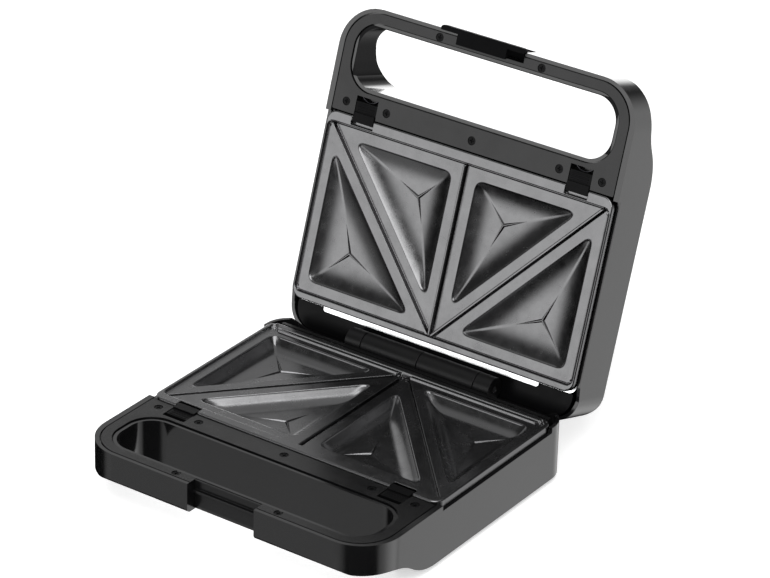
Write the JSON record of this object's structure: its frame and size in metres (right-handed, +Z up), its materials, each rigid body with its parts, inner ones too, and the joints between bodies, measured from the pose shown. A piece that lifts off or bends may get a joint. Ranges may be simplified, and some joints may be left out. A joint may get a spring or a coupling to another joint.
{
  "type": "sandwich toaster",
  "caption": "Hinged electric sandwich toaster, open, with triangular-pocket cooking plates, plate release clips, a carrying handle through both halves and a lid latch.",
  "frame": {"origin": "on the table, under the centre of the bounding box of the toaster as it stands open", "axes": "+X to the right seen from the front, +Y from the handle towards the hinge, +Z up"},
  "size_m": [0.241, 0.3202, 0.2686],
  "materials": {
    "shell": "glossy graphite",
    "trim": "satin dark grey",
    "plate_coating": "cast aluminium under a fine-grained dark grey non-stick coat",
    "reflector": "bright rolled sheet",
    "heater_sheath": "dull heat-tinted tube",
    "steel": "plain drawn steel",
    "ceramic": "unglazed cream",
    "rubber": "soft matte",
    "power_lens": "clear red",
    "ready_lens": "clear green",
    "screw_black": "black oxide",
    "black_plastic": "fine-grained matte black"
  },
  "bodies": {
    "base": {"base_shell": "shell", "base_trim": "trim", "base_hinge_bar": "black_plastic", "base_plate": "plate_coating", "base_reflector": "reflector", "base_heater": "heater_sheath", "base_thermostat": "steel", "terminal_block": "ceramic", "base_clip_spring_left": "steel", "base_clip_spring_right": "steel", "base_screws": "screw_black", "base_feet": "rubber", "cord_bush": "black_plastic", "latch_keeper": "black_plastic", "hinge_pin": "steel"},
    "lid": {"lid_shell": "shell", "lid_trim": "trim", "lid_hinge_bar": "black_plastic", "lid_barrel_left": "black_plastic", "lid_barrel_right": "black_plastic", "lid_plate": "plate_coating", "lid_reflector": "reflector", "lid_heater": "heater_sheath", "thermal_fuse": "steel", "lid_clip_spring_left": "steel", "lid_clip_spring_right": "steel", "lid_screws": "screw_black", "power_lens": "power_lens", "ready_lens": "ready_lens", "lamp_holder": "black_plastic", "latch_pin": "steel", "latch_spring": "steel"},
    "latch": {"latch_lever": "black_plastic"},
    "base_clip_left_body": {"base_clip_left": "black_plastic"},
    "base_clip_right_body": {"base_clip_right": "black_plastic"},
    "lid_clip_left_body": {"lid_clip_left": "black_plastic"},
    "lid_clip_right_body": {"lid_clip_right": "black_plastic"}
  },
  "joints": [
    {"name": "lid_hinge", "type": "hinge", "parent": "base", "child": "lid", "pos_m": [0, 0.0676, 0.04412], "axis": [1, 0, 0], "range_deg": [0, 107.84]},
    {"name": "latch_pivot", "type": "hinge", "parent": "lid", "child": "latch", "pos_m": [0, 0.14538, 0.25518], "axis": [-1, 0, 0], "range_deg": [0, 8], "stiffness_Nm_per_rad": 0.3, "springref_deg": -8.59},
    {"name": "base_clip_left_slide", "type": "slide", "parent": "base", "child": "base_clip_left_body", "axis": [0, -1, 0], "range_m": [0, 0.0034], "stiffness_N_per_m": 500, "springref_m": -0.003, "deforming": ["base_clip_spring_left"]},
    {"name": "base_clip_right_slide", "type": "slide", "parent": "base", "child": "base_clip_right_body", "axis": [0, -1, 0], "range_m": [0, 0.0034], "stiffness_N_per_m": 500, "springref_m": -0.003, "deforming": ["base_clip_spring_right"]},
    {"name": "lid_clip_left_slide", "type": "slide", "parent": "lid", "child": "lid_clip_left_body", "axis": [0, 0.3064, 0.9519], "range_m": [0, 0.0034], "stiffness_N_per_m": 500, "springref_m": -0.003, "deforming": ["lid_clip_spring_left"]},
    {"name": "lid_clip_right_slide", "type": "slide", "parent": "lid", "child": "lid_clip_right_body", "axis": [0, 0.3064, 0.9519], "range_m": [0, 0.0034], "stiffness_N_per_m": 500, "springref_m": -0.003, "deforming": ["lid_clip_spring_right"]}
  ]
}
